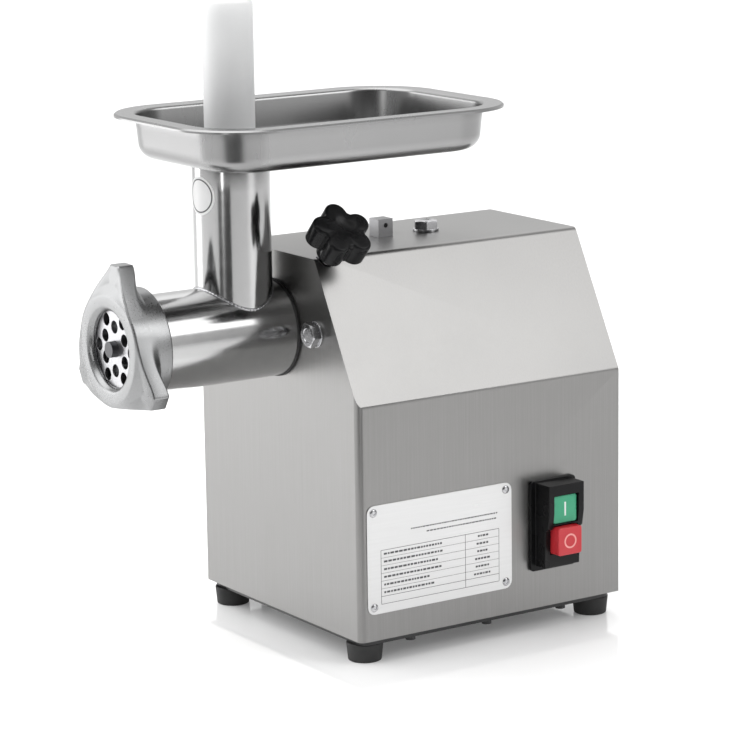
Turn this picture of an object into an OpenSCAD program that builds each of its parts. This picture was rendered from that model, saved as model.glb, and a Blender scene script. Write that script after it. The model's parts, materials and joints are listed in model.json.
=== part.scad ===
// Electric meat grinder: bent sheet casing with motor and two-stage gearbox,
// pull-out grinding head with feed tube, tray, food pusher and star-knob lock.
// Everything is drawn round the casing's middle (x = 0, y = 0 on the floor, head
// towards -Y) and then moved so that the origin is the bottom middle of its box.

/* [Casing] */
// Width of the casing
casing_w = 224; // [220:1:236]
// Length of the casing, front to back
casing_l = 240; // [238:1:256]
// Height of the upright part of the sides
side_h = 177; // [170:1:185]
// Height of the casing without its feet
casing_h = 280; // [279:1:290]
// Width of the flat top
top_w = 115; // [110:1:122]
// Thickness of the casing sheet
sheet_t = 1.5; // [1.2:0.1:2]
// Radius of the bends in the casing sheet
bend_r = 5; // [4:0.5:7]
// Clear height under the base slab
foot_h = 14; // [12:1:20]
// Thickness of the base slab
slab_t = 4; // [3:0.5:5]

/* [Grinding head] */
// Height of the head's axis above the bottom edge of the casing
head_h = 221; // [220:0.5:222]
// Outer radius of the barrel
barrel_r = 36.3; // [36:0.1:38]
// Radius of the barrel's bore
bore_r = 31.2; // [30.8:0.1:31.6]
// How far the ring nut's face stands ahead of the casing
reach = 142.8; // [142:0.2:146]
// Outer radius of the ring nut
ring_r = 43.2; // [42.5:0.1:45]
// Radius of the opening in the ring nut
lip_r = 28.3; // [27:0.1:29]
// Radius out to the tips of the ring nut's three ears
ear_r = 62; // [60:1:66]
// Outer radius of the feed tube
tube_r = 29; // [28.5:0.1:29.5]
// Distance from the casing to the feed tube's axis
tube_ahead = 35; // [34:0.5:38]

/* [Tray and pusher] */
// Height of the tray's underside above the casing's bottom edge
tray_h = 350; // [345:1:360]
// Width of the tray over its rim
tray_w = 189; // [180:1:196]
// Length of the tray over its rim
tray_l = 276; // [268:1:280]
// Depth of the tray
tray_d = 34; // [30:1:38]
// Corner radius of the tray's rim
tray_corner_r = 56; // [46:1:60]
// Width of the tray's flat rim
rim_w = 16.5; // [14:0.5:18]
// Radius of the food pusher
pusher_r = 18.9; // [18:0.1:20]
// Height of the pusher's top above the casing's bottom edge
pusher_top_h = 470; // [460:1:480]

/* [Hidden] */
$fn = 64;

// both gear pairs; the joints' couplings follow from the tooth counts
gear_m = 1.5;
motor_teeth = 17;
lay_teeth = 53;
pinion_teeth = 20;
output_teeth = 60;

z0 = foot_h + slab_t;
half_w = casing_w / 2;
half_l = casing_l / 2;
knee_z = z0 + side_h;
top_z = z0 + casing_h;
inner_top_z = top_z - sheet_t;
half_top = top_w / 2;
slant_a = atan2(half_w - half_top, casing_h - side_h);
front_y = -half_l;
rear_y = half_l;
panel_in_y = front_y + sheet_t;

// heights of the three shafts, one above the other
axis_z = z0 + head_h;
output_r = gear_m * output_teeth / 2;
lay_r = gear_m * lay_teeth / 2;
lay_z = axis_z - output_r - gear_m * pinion_teeth / 2;
motor_z = lay_z - lay_r - gear_m * motor_teeth / 2;

// stations along the shafts, from the front backwards
ring_y = front_y - reach;
plate_y = ring_y + 6;
knife_y = plate_y + 7;
screw_y = knife_y + 11.6;
gasket_t = 2;
shoulder_y = front_y - gasket_t;
barrel_wall_y = front_y - 6;
shank_y = front_y + 28;
nose_y = front_y + 29.5;
seal_y = front_y + 30;
bearing_y = front_y + 36;
chamber_y = front_y + 52;
stage2_y = front_y + 72;
stage1_y = front_y + 90;
cover_y = front_y + 94;
motor_y = front_y + 108;
shell_back_y = motor_y + 100;
tube_y = front_y - tube_ahead;

// the head's fits
shank_r = 26;
fit = 0.06;
tube_wall = 2;
tray_z = z0 + tray_h;
plate_r = bore_r - 0.1;
spigot_r = 5.95;
square_w = 12;
tang_w = 14;
auger_r = bore_r - 0.6;
core_r = 13;
journal_r = 11;

// locking knob: its screw points at the head's axis, seen from the front
lock_a = 44;
lock_y = front_y + 11;
lock_r = 6;
knob_s = 98;
knob_t = 20;
lobes = 5;

// switch on the right side
switch_y = 54.75;
switch_z = z0 + 65.2;
switch_w = 42.5;
switch_h = 70.5;
bezel_t = 3;
hood_out = 20;
stop_out = 24.5;
button_w = 22;
button_h = 21.5;
start_z = switch_z + 14.5;
stop_z = switch_z - 9.3;
button_gap = 0.4;

// cable gland, feet, bolts and lug
gland_out = 14;
foot_x = half_w - 17.3;
foot_y = half_l - 14.5;
bolt_x = 58.5;
bolt_z = axis_z + 3.5;
top_bolt_y = 19;
lug_y = -22.5;

// how far the whole machine is moved to centre its box on the origin
frame_x = -stop_out / 2;
frame_y = (reach - gland_out) / 2;

steel = [0.76, 0.77, 0.78];
polished = [0.84, 0.85, 0.86];
casting = [0.8, 0.8, 0.79];
black = [0.08, 0.08, 0.09];
bolt_steel = [0.66, 0.67, 0.7];
copper = [0.72, 0.42, 0.22];

// ---------------------------------------------------------------- helpers

module on_frame() { translate([frame_x, frame_y, 0]) children(); }

// a flat shape stood upright: drawn in X and Z and run forward from y = back
module upright(back, t) {
  translate([0, back, 0]) rotate([90, 0, 0]) linear_extrude(t) children();
}

// a round bar on a fore-and-aft axis, from y = back to y = front
module bar(back, front, r, z = axis_z, x = 0) {
  translate([x, back, z]) rotate([90, 0, 0]) cylinder(h = back - front, r = r);
}

module ring(back, front, r_out, r_in, z = axis_z, x = 0) {
  difference() {
    bar(back, front, r_out, z, x);
    bar(back + 1, front - 1, r_in, z, x);
  }
}

module at_corners(x, y) {
  for (sx = [-1, 1], sy = [-1, 1]) translate([sx * x, sy * y, 0]) children();
}

// the locking screw's own axis: local Z runs outwards from the head's axis
module on_lock_axis() {
  translate([0, lock_y, axis_z]) rotate([0, lock_a, 0]) children();
}

module hex(across, h) { cylinder(h = h, r = across / 2 / cos(30), $fn = 6); }

function arc(c, r, a0, a1, n = 5) = [for (i = [0:n]) let (a = a0 + (a1 - a0) * i / n)
  [c[0] + r * cos(a), c[1] + r * sin(a)]];

function mirrored(half) = concat(half, [for (i = [len(half) - 1:-1:0]) [-half[i][0], half[i][1]]]);

// section of the casing, set in from its outer faces
function casing_half(inset) = let (r = max(bend_r - inset, 0.5), c = r + inset)
  concat([[half_w - inset, z0]],
    arc([half_w - c, knee_z - c * tan(slant_a / 2)], r, 0, slant_a),
    arc([half_top - c * tan((90 - slant_a) / 2), top_z - c], r, slant_a, 90));

// plan of the casing: round front edges, open or square at the back
function plan_half(inset, back) = concat(
  arc([half_w - bend_r, front_y + bend_r], bend_r - inset, -90, 0), [[half_w - inset, back]]);

module casing_solid(inset, back) {
  intersection() {
    upright(back, back - front_y + 1) polygon(mirrored(casing_half(inset)));
    translate([0, 0, z0 - 1]) linear_extrude(casing_h + 2) polygon(mirrored(plan_half(inset, back)));
  }
}

// rounded rectangle as a list of points
function round_box(hx, hy, r, n = 8) = concat(arc([hx - r, hy - r], r, 0, 90, n),
  arc([r - hx, hy - r], r, 90, 180, n), arc([r - hx, r - hy], r, 180, 270, n),
  arc([hx - r, r - hy], r, 270, 360, n));

module block(size, r = 1) {
  linear_extrude(size[2]) polygon(round_box(size[0] / 2, size[1] / 2, r, 4));
}

// solid through a stack of rounded rectangles, each given as [set in, height]
module stack(hx, hy, r, steps) {
  loft([for (s = steps) [for (p = round_box(hx - s[0], hy - s[0], r - s[0])) [p[0], p[1], s[1]]]]);
}

// solid skin through a row of closed outlines with the same number of points
module loft(outline) {
  n = len(outline[0]);
  last = (len(outline) - 1) * n;
  sides = [for (k = [0:len(outline) - 2]) for (i = [0:n - 1]) let (j = (i + 1) % n)
    [k * n + i, (k + 1) * n + i, (k + 1) * n + j, k * n + j]];
  polyhedron([for (o = outline) each o],
    concat([[for (i = [0:n - 1]) i]], sides, [[for (i = [n - 1:-1:0]) last + i]]));
}

// section of a winding at angle a: points are [along the axis, out from the axis]
function winding(a, start, section) = [for (p = section) [p[1] * cos(a), p[1] * sin(a), start + p[0]]];

// ---------------------------------------------------------------- gears

// half of a tooth's angle at radius r, with 20 degree flanks
function tooth_half(teeth, r) = let (a = acos(min(1, gear_m * teeth * cos(20) / 2 / r)))
  90 / teeth - slack_a(teeth) + tan(20) * 180 / PI - 20 - (tan(a) * 180 / PI - a);

// angle taken off each flank so that meshed teeth run with play
function slack_a(teeth) = 0.06 / (gear_m * teeth / 2) * 180 / PI;

function flank_radii(teeth) = let (tip = gear_m * (teeth + 2) / 2,
  base = gear_m * teeth * cos(20) / 2, root = gear_m * (teeth - 2.5) / 2)
  [root, for (i = [0:3]) max(base, root) + 0.01 + (tip - max(base, root) - 0.01) * i / 3];

function polar(r, a) = [r * cos(a), r * sin(a)];

function gear_outline(teeth) = let (rs = flank_radii(teeth), n = len(rs) - 1)
  [for (k = [0:teeth - 1]) let (c = k * 360 / teeth)
    each concat([for (i = [0:n]) polar(rs[i], c - tooth_half(teeth, max(rs[i], rs[1])))],
      [for (i = [n:-1:0]) polar(rs[i], c + tooth_half(teeth, max(rs[i], rs[1])))])];

module gear(teeth, back, t, z, turn) {
  translate([0, back, z]) rotate([90, 0, 0]) rotate([0, 0, turn])
    linear_extrude(t) polygon(gear_outline(teeth));
}

// ---------------------------------------------------------------- casing

// bent and welded sheet: front, sides, slanted shoulders and top in one piece
module casing_cover() on_frame() color(steel) {
  difference() {
    casing_solid(0, rear_y);
    difference() {
      casing_solid(sheet_t, rear_y + 1);
      // inward lips along the bottom edges and round the back opening
      for (s = [-1, 1]) translate([s * (half_w - bottom_lip / 2), 0, z0])
        cube([bottom_lip, 2 * lip_end_y, 2 * sheet_t], center = true);
      upright(rear_y - sheet_t, sheet_t) difference() {
        translate([-casing_w, z0 + 8]) square([2 * casing_w, casing_h]);
        polygon(mirrored(casing_half(back_lip)));
      }
    }
    bar(front_y + 3, front_y - 1, shank_r + 0.6);
    for (s = [-1, 1]) bar(front_y + 3, front_y - 1, 5.3, bolt_z, s * bolt_x);
    on_lock_axis() translate([0, 0, 60]) cylinder(h = 30, r = 7);
    translate([0, top_bolt_y, top_z - 5]) cylinder(h = 6, r = 5.3);
    translate([0, lug_y, top_z - 5]) cylinder(h = 6, r = 2.7);
    translate([half_w, switch_y, switch_z]) cube([8, 34.5, 60.5], center = true);
    rivet_spots() rotate([0, 90, 0]) cylinder(h = 8, r = 1.55, center = true);
    base_screw_spots() cylinder(h = 30, r = 2.1, center = true);
    rear_screw_spots() rotate([90, 0, 0]) cylinder(h = 12, r = 1.6, center = true);
  }
}

bottom_lip = 14;
back_lip = 10;
lip_end_y = half_l - 24;

// flat sheet that closes the back, with air slots and the cable hole
module rear_panel() on_frame() color(steel) {
  difference() {
    upright(rear_y, sheet_t) polygon(mirrored(casing_half(sheet_t + 0.3)));
    translate([0, rear_y, z0]) cube([casing_w, 8, 1], center = true);
    for (row = [0:8]) translate([0, rear_y, motor_z - 40 + row * 10])
      cube([row == 0 || row == 8 ? 70 : 96, 8, 4], center = true);
    bar(rear_y + 2, rear_y - 4, 8.05, gland_z, gland_x);
    rear_screw_spots() rotate([90, 0, 0]) cylinder(h = 12, r = 2.2, center = true);
  }
}
gland_x = -70;
gland_z = z0 + 34;

// black slab under the casing that carries the motor and the feet
module base_slab() on_frame() color(black) {
  difference() {
    translate([0, 0, foot_h]) linear_extrude(slab_t)
      polygon(round_box(half_w - 4, half_l - 4, 8, 4));
    at_corners(foot_x, foot_y) cylinder(h = 60, r = 3.05, center = true);
    base_screw_spots() cylinder(h = 60, r = 2.1, center = true);
    cradle_spots() cylinder(h = 60, r = 2.6, center = true);
    for (row = [-3:3]) translate([row * 12, 72, foot_h]) cube([4, 40, 20], center = true);
  }
}

module rubber_feet() on_frame() color(black) {
  at_corners(foot_x, foot_y) rotate_extrude() difference() {
    polygon([[0, 0], [12.4, 0], [13.2, 0.8], [14, foot_h], [0, foot_h]]);
    square([3.05, 100]);
    square([6.5, 6]);
  }
}

module foot_screws() on_frame() color(bolt_steel) {
  at_corners(foot_x, foot_y) {
    translate([0, 0, 2]) cylinder(h = 4, r = 5);
    translate([0, 0, 6]) cylinder(h = z0, r = 3);
    translate([0, 0, z0]) difference() {
      hex(10, 5);
      translate([0, 0, -1]) cylinder(h = 7, r = 3);
    }
  }
}

module base_screw_spots() {
  for (s = [-1, 1], y = [-70, 0, 70]) translate([s * (half_w - 9), y, z0]) children();
}

module base_screws() on_frame() color(bolt_steel) {
  base_screw_spots() {
    translate([0, 0, -slab_t - 3]) cylinder(h = 3, r = 3.8);
    translate([0, 0, -slab_t - 1]) cylinder(h = slab_t + 8, r = 2);
    translate([0, 0, sheet_t]) difference() {
      hex(7, 3.2);
      translate([0, 0, -1]) cylinder(h = 6, r = 2);
    }
  }
}

module rear_screw_spots() {
  for (s = [-1, 1]) {
    for (z = [z0 + 20, z0 + 150]) translate([s * (half_w - 7), rear_y, z]) children();
    translate([s * 45, rear_y, top_z - 7]) children();
  }
}

module rear_screws() on_frame() color(bolt_steel) {
  rear_screw_spots() rotate([-90, 0, 0]) {
    cylinder(h = 2, r1 = 3.4, r2 = 2.6);
    translate([0, 0, -6]) cylinder(h = 6.5, r = 1.5);
  }
}

// ---------------------------------------------------------------- gearbox

module gearbox_section(wall, motor_r) {
  translate([0, axis_z]) circle(output_r + 4 + wall);
  translate([0, lay_z]) circle(lay_r + 4.25 + wall);
  translate([0, motor_z]) circle(motor_r + wall);
  translate([-lay_r * 0.8 - wall, lay_z]) square([lay_r * 1.6 + 2 * wall, axis_z - lay_z]);
  translate([-20 - wall, motor_z]) square([40 + 2 * wall, lay_z - motor_z]);
}

// cast body: socket for the head at the front, gear chamber behind it
module gearbox_housing() on_frame() color(casting) {
  difference() {
    union() {
      bar(seal_y, panel_in_y, 40);
      upright(panel_in_y + 14.5, 14.5) translate([0, bolt_z]) {
        square([2 * bolt_x, 24], center = true);
        for (s = [-1, 1]) translate([s * bolt_x, 0]) circle(12);
      }
      on_lock_axis() translate([0, 0, 30]) cylinder(h = 32, r = 9.4);
      upright(cover_y, cover_y - seal_y) gearbox_section(6, 18);
    }
    bar(seal_y, panel_in_y - 5, shank_r + fit);
    bar(bearing_y, seal_y - 1, 22.5);
    bar(chamber_y + 1, bearing_y, 31);
    bar(chamber_y + 1, chamber_y - 12, 20, lay_z);
    upright(cover_y + 1, cover_y + 1 - chamber_y) gearbox_section(0, 18);
    for (s = [-1, 1]) bar(panel_in_y + 16, panel_in_y - 1, 5.05, bolt_z, s * bolt_x);
    on_lock_axis() translate([0, 0, 20]) cylinder(h = 50, r = lock_r + fit);
    gearbox_screw_spots() bar(cover_y + 1, cover_y - 14, 2.5, 0, 0);
  }
}

function gearbox_screw_places() = concat(
  [for (a = [0, 55, 125, 180]) [(output_r + 7) * cos(a), axis_z + (output_r + 7) * sin(a)]],
  [for (s = [-1, 1]) [s * (lay_r + 7), lay_z + 8]]);

module gearbox_screw_spots() {
  for (p = gearbox_screw_places()) translate([p[0], 0, p[1]]) children();
}

// cast cover of the gear chamber, which is also the motor's front end
module gearbox_cover() on_frame() color(casting) {
  difference() {
    upright(motor_y, motor_y - cover_y) intersection() {
      gearbox_section(6, 70);
      translate([-100, 0]) square([200, bracket_z]);
    }
    bar(cover_y + 12, cover_y - 1, 21);
    bar(cover_y + 12, cover_y - 1, 20, lay_z);
    bar(motor_y + 1, motor_y - 12, 20, motor_z);
    bar(motor_y + 1, cover_y - 1, 9, motor_z);
    gearbox_screw_spots() bar(motor_y + 1, cover_y - 1, 2.6, 0, 0);
    for (s = [-1, 1]) bar(motor_y + 1, motor_y - 9, 2.05, bracket_z - 8, s * 14);
  }
}
bracket_z = inner_top_z - 6;

module gearbox_screws() on_frame() color(bolt_steel) {
  gearbox_screw_spots() {
    bar(motor_y + 5, motor_y, 4.2, 0, 0);
    bar(motor_y, cover_y - 13, 2.45, 0, 0);
  }
}

module flange_bolts() on_frame() color(bolt_steel) {
  for (s = [-1, 1]) translate([s * bolt_x, front_y - 2, bolt_z]) rotate([90, 0, 0]) {
    hex(17, 6.4);
    translate([0, 0, -15]) cylinder(h = 16, r = 5);
  }
}

module flange_washers() on_frame() color(bolt_steel) {
  for (s = [-1, 1]) ring(front_y, front_y - 2, 10, 5.2, bolt_z, s * bolt_x);
}

// rubber ring between the barrel's shoulder and the front of the casing
module head_gasket() on_frame() color(black) {
  ring(front_y, shoulder_y, barrel_r + 0.8, shank_r + 0.6);
}

module bearing(back, front, r_out, r_in, z) {
  ring(back, front, r_out, r_out * 0.72 + r_in * 0.28 + 0.4, z);
  ring(back, front, r_out * 0.28 + r_in * 0.72 - 0.4, r_in, z);
  ring(back - 1, front + 1, r_out * 0.72 + r_in * 0.28 + 0.4, r_out * 0.28 + r_in * 0.72 - 0.4, z);
}

module output_bearings() on_frame() color(bolt_steel) {
  bearing(chamber_y, bearing_y, 31, 15.05, axis_z);
  bearing(cover_y + 12, cover_y, 21, 10.05, axis_z);
}

module layshaft_bearings() on_frame() color(bolt_steel) {
  bearing(chamber_y, chamber_y - 12, 20, 8.55, lay_z);
  bearing(cover_y + 12, cover_y, 20, 8.55, lay_z);
}

module motor_bearings() on_frame() color(bolt_steel) {
  bearing(motor_y, motor_y - 12, 20, 8.55, motor_z);
  bearing(shell_back_y, shell_back_y - 12, 20, 8.55, motor_z);
}

module output_seal() on_frame() color(black) {
  ring(bearing_y, seal_y, 22.5, 15.06);
}

// ---------------------------------------------------------------- motor

shell_r = 65;
stator_in_r = 36.5;
core_front_y = motor_y + 20;
core_back_y = core_front_y + 60;

module motor_shell() on_frame() color(casting) {
  ring(shell_back_y, motor_y, shell_r, shell_r - 3, motor_z);
}

module stator_core() on_frame() color([0.45, 0.46, 0.48]) {
  difference() {
    ring(core_back_y, core_front_y, shell_r - 3, stator_in_r, motor_z);
    for (k = [0:23]) translate([0, 0, motor_z]) rotate([0, k * 15, 0])
      translate([0, core_back_y + 1, 48]) rotate([90, 0, 0])
        linear_extrude(62) square([5, 14], center = true);
  }
}

// end turns of the winding, with the coil sides lying in the core's slots
module stator_windings() on_frame() color(copper) {
  ring(core_front_y, core_front_y - 14, 57, 40, motor_z);
  ring(core_back_y + 14, core_back_y, 57, 40, motor_z);
  for (k = [0:23]) translate([0, 0, motor_z]) rotate([0, k * 15, 0])
    translate([0, core_back_y, 48]) rotate([90, 0, 0])
      linear_extrude(60) square([4.4, 13.4], center = true);
}

module motor_rear_bell() on_frame() color(casting) {
  difference() {
    union() {
      bar(shell_back_y + 4, shell_back_y, shell_r, motor_z);
      bar(shell_back_y, shell_back_y - 14, 24, motor_z);
    }
    bar(shell_back_y, shell_back_y - 15, 20, motor_z);
    bar(shell_back_y + 5, shell_back_y - 1, 9.5, motor_z);
    for (k = [0:7]) translate([0, shell_back_y, motor_z]) rotate([0, 22.5 + k * 45, 0])
      translate([0, 0, 42]) rotate([90, 0, 0]) cylinder(h = 12, r = 8, center = true);
  }
}

module cradle_spots() {
  for (sx = [-1, 1], y = [motor_y + 22, motor_y + 68]) translate([sx * 52, y, z0]) children();
}

// sheet cradle that holds the motor off the base slab
module motor_cradle() on_frame() color([0.3, 0.31, 0.33]) {
  difference() {
    union() {
      translate([-60, motor_y + 10, z0]) cube([120, 70, 3]);
      for (y = [motor_y + 34, motor_y + 52]) translate([-44, y, z0]) cube([88, 4, 70]);
    }
    bar(motor_y + 100, motor_y, shell_r, motor_z);
    cradle_spots() cylinder(h = 20, r = 2.6, center = true);
  }
}

module motor_cradle_screws() on_frame() color(bolt_steel) {
  cradle_spots() {
    translate([0, 0, 3]) hex(8, 4);
    translate([0, 0, -slab_t]) cylinder(h = slab_t + 4, r = 2.5);
  }
}

module rotor_core() on_frame() color([0.5, 0.5, 0.52]) {
  ring(core_back_y + 5, core_front_y - 5, stator_in_r - 0.5, 9, motor_z);
}

module motor_shaft() on_frame() color(bolt_steel) {
  bar(motor_y - 12, stage1_y, 8, motor_z);
  bar(core_front_y - 5, motor_y - 12, 8.5, motor_z);
  bar(core_back_y + 5, core_front_y - 5, 9, motor_z);
  bar(fan_y + 10, core_back_y + 5, 8.5, motor_z);
  gear(motor_teeth, stage1_y, 14, motor_z, 90);
}
fan_y = shell_back_y + 7;

module cooling_fan() on_frame() color([0.15, 0.16, 0.18]) {
  difference() {
    union() {
      bar(fan_y + 10, fan_y, 13, motor_z);
      bar(fan_y + 2, fan_y, 54, motor_z);
      for (k = [0:8]) translate([0, fan_y + 10, motor_z]) rotate([0, k * 40, 0])
        translate([-1, -9, 12]) cube([2, 9, 41]);
    }
    bar(fan_y + 11, fan_y - 1, 8.5, motor_z);
  }
}

module layshaft_gear() on_frame() color([0.62, 0.6, 0.55]) {
  difference() {
    gear(lay_teeth, stage1_y, 14, lay_z, 270 + 180 / lay_teeth);
    bar(stage1_y + 1, stage1_y - 15, 11, lay_z);
    bar(stage1_y + 1, stage1_y - 4, 33, lay_z);
    bar(stage1_y - 10, stage1_y - 15, 33, lay_z);
  }
  ring(stage1_y, stage1_y - 14, 17, 11, lay_z);
}

module layshaft_pinion() on_frame() color(bolt_steel) {
  bar(chamber_y, chamber_y - 11, 8.5, lay_z);
  bar(cover_y, chamber_y, 10, lay_z);
  bar(stage1_y, stage1_y - 14, 11, lay_z);
  bar(cover_y + 11, cover_y, 8.5, lay_z);
  gear(pinion_teeth, stage2_y, 18, lay_z, 90);
}

module output_gear() on_frame() color([0.62, 0.6, 0.55]) {
  difference() {
    gear(output_teeth, stage2_y, 18, axis_z, 180 / output_teeth);
    bar(stage2_y + 1, stage2_y - 19, 16);
    bar(stage2_y + 1, stage2_y - 5, 38);
    bar(stage2_y - 13, stage2_y - 19, 38);
    for (k = [0:5]) translate([0, stage2_y, axis_z]) rotate([0, k * 60, 0])
      translate([0, 0, 30]) rotate([90, 0, 0]) cylinder(h = 50, r = 5, center = true);
  }
  ring(stage2_y, stage2_y - 18, 22, 16);
}

// the socket in its nose drives the auger's square tang
module output_shaft() on_frame() color(bolt_steel) {
  difference() {
    union() {
      bar(stage2_y - 18, nose_y, 15);
      bar(stage2_y, stage2_y - 18, 16);
      bar(cover_y, stage2_y, 12);
      bar(cover_y + 11, cover_y, 10);
    }
    translate([0, nose_y + 8, axis_z]) cube([tang_w + 0.4, 18, tang_w + 0.4], center = true);
  }
}

// ---------------------------------------------------------------- electrical

capacitor_z = motor_z + shell_r + 24;

module capacitor() on_frame() color([0.85, 0.85, 0.83]) {
  bar(motor_y + 76, motor_y + 12, 20, capacitor_z, -24);
  bar(motor_y + 79, motor_y + 76, 12, capacitor_z, -24);
}

module capacitor_clamp() on_frame() color(bolt_steel) {
  difference() {
    union() {
      bar(motor_y + 50, motor_y + 38, 22, capacitor_z, -24);
      translate([-32, motor_y + 38, motor_z + shell_r - 12]) cube([16, 12, 24]);
    }
    bar(motor_y + 51, motor_y + 37, 20, capacitor_z, -24);
    bar(motor_y + 51, motor_y + 37, shell_r, motor_z);
  }
}

module terminal_block() on_frame() color([0.93, 0.92, 0.88]) {
  difference() {
    translate([-88, 30, z0]) cube([16, 60, 16]);
    for (k = [0:4]) translate([-80, 38 + k * 11, z0 + 10]) cylinder(h = 10, r = 3);
  }
}

// one insulated lead: straight runs with rounded bends between the points
module lead(points, r = 1.6) {
  for (i = [0:len(points) - 2]) {
    step = points[i + 1] - points[i];
    run = norm(step);
    translate(points[i]) rotate([0, acos(step[2] / run), atan2(step[1], step[0])])
      cylinder(h = run, r = r, $fn = 12);
    if (i > 0) translate(points[i]) sphere(r, $fn = 12);
  }
}

module wiring() on_frame() {
  low = z0 + 13;
  color([0.1, 0.1, 0.11]) lead([[-72, 38, low], [-64, 38, low], [-64, -90, 30], [70, -90, 30],
    [70, 46, 30], [70, 46, 60], [switch_in_x, 46, 60]]);
  color([0.75, 0.15, 0.12]) lead([[-72, 60, low], [-67, 60, low], [-67, 60, 80], [-90, 60, 110],
    [-90, 60, 190], [-62, 95, capacitor_z], [-24, 95, capacitor_z], [-24, motor_y + 79, capacitor_z]]);
  color([0.15, 0.3, 0.7]) lead([[-72, 82, low], [-70, 82, low], [-70, 82, 45], [-84, 82, 60],
    [-84, 82, 150], [-50, 84, 195], [70, 84, 195], [80, 66, 180], [80, 66, 90], [switch_in_x, 66, 90]]);
}
switch_in_x = half_w - 26;

// ---------------------------------------------------------------- switch

module button_well(z) {
  translate([half_w - 13, switch_y, z]) rotate([0, 90, 0]) linear_extrude(60)
    square([button_h + 2 * button_gap, button_w + 2 * button_gap], center = true);
}

// bezel and box in one moulding; the hood guards the start button
module switch_housing() on_frame() color(black) {
  difference() {
    union() {
      translate([half_w, switch_y, switch_z]) rotate([0, 90, 0])
        block([switch_h, switch_w, bezel_t], 3);
      translate([half_w - 26, switch_y - 17, switch_z - 30]) cube([26, 34, 60]);
      translate([half_w + bezel_t, switch_y + 16.5, switch_z]) rotate([90, 0, 0]) linear_extrude(33)
        polygon([[0, -31], [11, -31], [12, -2], [15, 0], [hood_out - bezel_t, 12],
          [hood_out - bezel_t, 34], [0, 34]]);
    }
    button_well(start_z);
    button_well(stop_z);
  }
}

module start_button() on_frame() color([0.1, 0.55, 0.32]) {
  translate([half_w - 5, switch_y, start_z]) rotate([0, 90, 0])
    block([button_h, button_w, 23], 2);
}

module stop_button() on_frame() color([0.75, 0.1, 0.12]) {
  translate([half_w - 5, switch_y, stop_z]) rotate([0, 90, 0])
    block([button_h, button_w, stop_out + 5], 2);
}

module coil_spring(z) {
  wire = 0.45;
  length = 8 - 2 * wire;
  translate([half_w - 13 + wire, switch_y, z]) rotate([0, 90, 0])
    loft([for (a = [0:30:4 * 360]) winding(a, a / 1440 * length,
      [for (b = [0:60:300]) [wire * cos(b), 4 + wire * sin(b)]])]);
}

module start_spring() on_frame() color(bolt_steel) coil_spring(start_z);

module stop_spring() on_frame() color(bolt_steel) coil_spring(stop_z);

// ---------------------------------------------------------------- outside trim

module rivet_spots() {
  for (y = [-108.3, 11.5], z = [25.8, 97.7]) translate([half_w, y, z0 + z]) children();
}

module rating_plate() on_frame() color([0.88, 0.88, 0.87]) {
  difference() {
    translate([half_w, -48.4, z0 + 61.75]) rotate([0, 90, 0]) block([82.5, 131, 0.8], 6);
    rivet_spots() rotate([0, 90, 0]) cylinder(h = 8, r = 1.55, center = true);
  }
}

module plate_rivets() on_frame() color(bolt_steel) {
  rivet_spots() rotate([0, 90, 0]) {
    translate([0, 0, -2.5]) cylinder(h = 3.4, r = 1.5);
    translate([0, 0, 0.8]) cylinder(h = 1.2, r1 = 3.2, r2 = 2.2);
  }
}

// carries the casing's top; sits on the gearbox cover
module top_bracket() on_frame() color([0.3, 0.31, 0.33]) {
  difference() {
    union() {
      translate([-22, motor_y - 14, bracket_z]) cube([44, 58, 6]);
      translate([-22, motor_y, bracket_z - 16]) cube([44, 4, 17]);
    }
    translate([0, top_bolt_y, bracket_z - 1]) cylinder(h = 8, r = 5.05);
    translate([0, lug_y, bracket_z - 1]) cylinder(h = 8, r = 2.55);
    for (s = [-1, 1]) bar(motor_y + 5, motor_y - 1, 2.05, bracket_z - 8, s * 14);
  }
  for (s = [-1, 1]) {
    bar(motor_y + 7, motor_y + 4, 3.6, bracket_z - 8, s * 14);
    bar(motor_y + 4, motor_y - 8, 2, bracket_z - 8, s * 14);
  }
}

module top_bolt() on_frame() color(bolt_steel) {
  translate([0, top_bolt_y, top_z + 2]) {
    hex(17, 6.4);
    translate([0, 0, -14]) cylinder(h = 15, r = 5);
  }
}

module top_washer() on_frame() color(bolt_steel) {
  translate([0, top_bolt_y, top_z]) difference() {
    cylinder(h = 2, r = 10);
    translate([0, 0, -1]) cylinder(h = 4, r = 5.2);
  }
}

// small steel block with a cross hole for tying down
module top_lug() on_frame() color(bolt_steel) {
  difference() {
    translate([-6.5, lug_y - 6.5, top_z]) cube([13, 13, 14]);
    translate([0, lug_y, top_z + 9]) rotate([0, 90, 0]) cylinder(h = 20, r = 1.75, center = true);
  }
  translate([0, lug_y, top_z - 7]) cylinder(h = 7.5, r = 2.5);
}

module cable_gland() on_frame() color(black) {
  difference() {
    union() {
      bar(rear_y + 4, rear_y, 11, gland_z, gland_x);
      bar(rear_y + gland_out, rear_y + 4, 9, gland_z, gland_x);
      bar(rear_y, rear_y - 8, 8, gland_z, gland_x);
      translate([gland_x, rear_y - sheet_t, gland_z]) rotate([90, 0, 0]) hex(20, 5);
    }
    bar(rear_y + gland_out + 1, rear_y - 12, 4, gland_z, gland_x);
  }
}

// ---------------------------------------------------------------- head lock

module lock_screw() on_frame() color(bolt_steel) {
  on_lock_axis() {
    translate([0, 0, shank_r + 2.3]) cylinder(h = knob_s + 13.7 - shank_r, r = lock_r);
    translate([0, 0, shank_r + 0.3]) cylinder(h = 2, r1 = lock_r - 2, r2 = lock_r);
  }
}

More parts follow.
